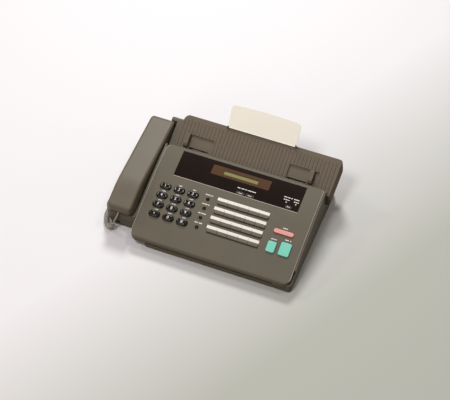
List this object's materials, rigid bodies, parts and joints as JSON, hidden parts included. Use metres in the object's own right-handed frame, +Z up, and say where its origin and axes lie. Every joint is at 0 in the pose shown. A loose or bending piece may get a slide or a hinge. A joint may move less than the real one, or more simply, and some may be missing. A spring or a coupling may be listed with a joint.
{
  "type": "fax machine",
  "caption": "Desktop fax machine with a handset at its left, a sloped key panel with a display, a ribbed document tray and a paper compartment.",
  "frame": {"origin": "middle of the footprint on the table, without the cord", "axes": "+X to the machine's right, +Y to its back, +Z up"},
  "size_m": [0.3624, 0.2546, 0.1244],
  "materials": {
    "case": "fine matt texture",
    "inner": "matt",
    "black": "satin",
    "keys": "satin",
    "rapid": "satin",
    "teal": "satin",
    "salmon": "satin",
    "film": "gloss",
    "lens": "gloss",
    "white": "satin",
    "paper": "matt paper",
    "cream": "satin",
    "clear": "clear gloss",
    "cord": "satin",
    "rubber": "matt",
    "metal": "satin",
    "board": "matt"
  },
  "bodies": {
    "base": {"lower_case": "case", "feet": "rubber", "rest_cover": "case", "chassis": "inner", "thermal_head": "metal", "image_sensor": "inner", "main_board": "board", "power_supply": "board", "speaker": "inner", "modular_sockets": "black", "mains_inlet": "black", "drive_motor": "metal", "handset_cord": "cord", "cord_plug": "clear"},
    "roll": {"paper_roll": "paper"},
    "feed": {"feed_shaft": "metal", "feed_rollers": "rubber", "feed_gear": "white"},
    "platen": {"platen_shaft": "metal", "platen_roller": "rubber", "platen_gear": "white"},
    "pinion": {"motor_pinion": "metal"},
    "hook": {"hook_switch": "black"},
    "panel": {"panel_cover": "case", "panel_underside": "inner", "panel_board": "board", "display_film": "film", "lcd_module": "lens", "label_strips": "white", "separator_pad": "rubber"},
    "tray": {"tray_cover": "case"},
    "guide_left": {"document_guide_left": "case"},
    "guide_right": {"document_guide_right": "case"},
    "guide_gear": {"guide_pinion": "white"},
    "plate": {"support_plate": "cream"},
    "handset": {"handset_back": "case", "handset_face": "case"},
    "dial_key_1_body": {"dial_key_1": "keys"},
    "dial_key_2_body": {"dial_key_2": "keys"},
    "dial_key_3_body": {"dial_key_3": "keys"},
    "dial_key_4_body": {"dial_key_4": "keys"},
    "dial_key_5_body": {"dial_key_5": "keys"},
    "dial_key_6_body": {"dial_key_6": "keys"},
    "dial_key_7_body": {"dial_key_7": "keys"},
    "dial_key_8_body": {"dial_key_8": "keys"},
    "dial_key_9_body": {"dial_key_9": "keys"},
    "dial_key_star_body": {"dial_key_star": "keys"},
    "dial_key_0_body": {"dial_key_0": "keys"},
    "dial_key_hash_body": {"dial_key_hash": "keys"},
    "function_key_1_body": {"function_key_1": "keys"},
    "function_key_2_body": {"function_key_2": "keys"},
    "function_key_3_body": {"function_key_3": "keys"},
    "function_key_4_body": {"function_key_4": "keys"},
    "rapid_keys_row_1_body": {"rapid_keys_row_1": "rapid"},
    "rapid_keys_row_2_body": {"rapid_keys_row_2": "rapid"},
    "rapid_keys_row_3_body": {"rapid_keys_row_3": "rapid"},
    "rapid_keys_row_4_body": {"rapid_keys_row_4": "rapid"},
    "stop_key_body": {"stop_key": "salmon"},
    "copy_key_body": {"copy_key": "teal"},
    "start_key_body": {"start_key": "teal"}
  },
  "joints": [
    {"name": "panel_open", "type": "hinge", "parent": "base", "child": "panel", "pos_m": [0.02075, 0.03989, 0.06603], "axis": [-1, 0, 0], "range_deg": [0, 40]},
    {"name": "tray_open", "type": "hinge", "parent": "base", "child": "tray", "pos_m": [0.0265, 0.09704, 0.0485], "axis": [-1, 0, 0], "range_deg": [0, 60]},
    {"name": "guide_left_slide", "type": "slide", "parent": "tray", "child": "guide_left", "axis": [1, 0, 0], "range_m": [0, 0.034]},
    {"name": "guide_right_slide", "type": "slide", "parent": "tray", "child": "guide_right", "axis": [-1, 0, 0], "range_m": [0, 0.034]},
    {"name": "guide_pinion_turn", "type": "hinge", "parent": "tray", "child": "guide_gear", "pos_m": [0.02, 0.0691, 0.06665], "axis": [0, -0.4524, 0.8918], "range_deg": [-243.56, 0.05]},
    {"name": "support_plate_fold", "type": "hinge", "parent": "tray", "child": "plate", "pos_m": [0.02845, 0.10081, 0.09082], "axis": [1, 0, 0], "range_deg": [0, 148]},
    {"name": "dial_key_1_press", "type": "slide", "parent": "panel", "child": "dial_key_1_body", "axis": [0, 0.2563, -0.9666], "range_m": [0, 0.001], "stiffness_N_per_m": 300, "springref_m": -0.001},
    {"name": "dial_key_2_press", "type": "slide", "parent": "panel", "child": "dial_key_2_body", "axis": [0, 0.2563, -0.9666], "range_m": [0, 0.001], "stiffness_N_per_m": 300, "springref_m": -0.001},
    {"name": "dial_key_3_press", "type": "slide", "parent": "panel", "child": "dial_key_3_body", "axis": [0, 0.2563, -0.9666], "range_m": [0, 0.001], "stiffness_N_per_m": 300, "springref_m": -0.001},
    {"name": "dial_key_4_press", "type": "slide", "parent": "panel", "child": "dial_key_4_body", "axis": [0, 0.2761, -0.9611], "range_m": [0, 0.001], "stiffness_N_per_m": 300, "springref_m": -0.001},
    {"name": "dial_key_5_press", "type": "slide", "parent": "panel", "child": "dial_key_5_body", "axis": [0, 0.2761, -0.9611], "range_m": [0, 0.001], "stiffness_N_per_m": 300, "springref_m": -0.001},
    {"name": "dial_key_6_press", "type": "slide", "parent": "panel", "child": "dial_key_6_body", "axis": [0, 0.2761, -0.9611], "range_m": [0, 0.001], "stiffness_N_per_m": 300, "springref_m": -0.001},
    {"name": "dial_key_7_press", "type": "slide", "parent": "panel", "child": "dial_key_7_body", "axis": [0, 0.2959, -0.9552], "range_m": [0, 0.001], "stiffness_N_per_m": 300, "springref_m": -0.001},
    {"name": "dial_key_8_press", "type": "slide", "parent": "panel", "child": "dial_key_8_body", "axis": [0, 0.2959, -0.9552], "range_m": [0, 0.001], "stiffness_N_per_m": 300, "springref_m": -0.001},
    {"name": "dial_key_9_press", "type": "slide", "parent": "panel", "child": "dial_key_9_body", "axis": [0, 0.2959, -0.9552], "range_m": [0, 0.001], "stiffness_N_per_m": 300, "springref_m": -0.001},
    {"name": "dial_key_star_press", "type": "slide", "parent": "panel", "child": "dial_key_star_body", "axis": [0, 0.3157, -0.9489], "range_m": [0, 0.001], "stiffness_N_per_m": 300, "springref_m": -0.001},
    {"name": "dial_key_0_press", "type": "slide", "parent": "panel", "child": "dial_key_0_body", "axis": [0, 0.3157, -0.9489], "range_m": [0, 0.001], "stiffness_N_per_m": 300, "springref_m": -0.001},
    {"name": "dial_key_hash_press", "type": "slide", "parent": "panel", "child": "dial_key_hash_body", "axis": [0, 0.3157, -0.9489], "range_m": [0, 0.001], "stiffness_N_per_m": 300, "springref_m": -0.001},
    {"name": "function_key_1_press", "type": "slide", "parent": "panel", "child": "function_key_1_body", "axis": [0, 0.2563, -0.9666], "range_m": [0, 0.001], "stiffness_N_per_m": 300, "springref_m": -0.001},
    {"name": "function_key_2_press", "type": "slide", "parent": "panel", "child": "function_key_2_body", "axis": [0, 0.2761, -0.9611], "range_m": [0, 0.001], "stiffness_N_per_m": 300, "springref_m": -0.001},
    {"name": "function_key_3_press", "type": "slide", "parent": "panel", "child": "function_key_3_body", "axis": [0, 0.2959, -0.9552], "range_m": [0, 0.001], "stiffness_N_per_m": 300, "springref_m": -0.001},
    {"name": "function_key_4_press", "type": "slide", "parent": "panel", "child": "function_key_4_body", "axis": [0, 0.3157, -0.9489], "range_m": [0, 0.001], "stiffness_N_per_m": 300, "springref_m": -0.001},
    {"name": "rapid_keys_row_1_press", "type": "slide", "parent": "panel", "child": "rapid_keys_row_1_body", "axis": [0, 0.2567, -0.9665], "range_m": [0, 0.001], "stiffness_N_per_m": 300, "springref_m": -0.001},
    {"name": "rapid_keys_row_2_press", "type": "slide", "parent": "panel", "child": "rapid_keys_row_2_body", "axis": [0, 0.2764, -0.961], "range_m": [0, 0.001], "stiffness_N_per_m": 300, "springref_m": -0.001},
    {"name": "rapid_keys_row_3_press", "type": "slide", "parent": "panel", "child": "rapid_keys_row_3_body", "axis": [0, 0.2961, -0.9551], "range_m": [0, 0.001], "stiffness_N_per_m": 300, "springref_m": -0.001},
    {"name": "rapid_keys_row_4_press", "type": "slide", "parent": "panel", "child": "rapid_keys_row_4_body", "axis": [0, 0.3159, -0.9488], "range_m": [0, 0.001], "stiffness_N_per_m": 300, "springref_m": -0.001},
    {"name": "stop_key_press", "type": "slide", "parent": "panel", "child": "stop_key_body", "axis": [0, 0.2759, -0.9612], "range_m": [0, 0.001], "stiffness_N_per_m": 300, "springref_m": -0.001},
    {"name": "copy_key_press", "type": "slide", "parent": "panel", "child": "copy_key_body", "axis": [0, 0.3094, -0.9509], "range_m": [0, 0.001], "stiffness_N_per_m": 300, "springref_m": -0.001},
    {"name": "start_key_press", "type": "slide", "parent": "panel", "child": "start_key_body", "axis": [0, 0.3068, -0.9518], "range_m": [0, 0.001], "stiffness_N_per_m": 300, "springref_m": -0.001},
    {"name": "handset_lift", "type": "slide", "parent": "base", "child": "handset", "axis": [0, 0, 1], "range_m": [0, 0.06], "deforming": ["handset_cord"]},
    {"name": "hook_rise", "type": "slide", "parent": "base", "child": "hook", "axis": [0, 0, 1], "range_m": [0, 0.004]},
    {"name": "feed_turn", "type": "hinge", "parent": "base", "child": "feed", "pos_m": [0.02, 0.02379, 0.04706], "axis": [1, 0, 0], "continuous": true},
    {"name": "platen_turn", "type": "hinge", "parent": "base", "child": "platen", "pos_m": [0.02, 0.04074, 0.03304], "axis": [1, 0, 0], "continuous": true},
    {"name": "motor_pinion_turn", "type": "hinge", "parent": "base", "child": "pinion", "pos_m": [0.1405, 0.01119, 0.0342], "axis": [1, 0, 0], "continuous": true},
    {"name": "paper_roll_turn", "type": "hinge", "parent": "base", "child": "roll", "pos_m": [0.02, 0.07554, 0.031], "axis": [1, 0, 0], "continuous": true}
  ],
  "couplings": [
    {"joint": "guide_right_slide", "follows": "guide_left_slide", "ratio": 1},
    {"joint": "guide_pinion_turn", "follows": "guide_left_slide", "rad_per_m": -125},
    {"joint": "hook_rise", "follows": "handset_lift", "ratio": 0.066667},
    {"joint": "platen_turn", "follows": "feed_turn", "ratio": -1.2},
    {"joint": "motor_pinion_turn", "follows": "feed_turn", "ratio": -2}
  ]
}
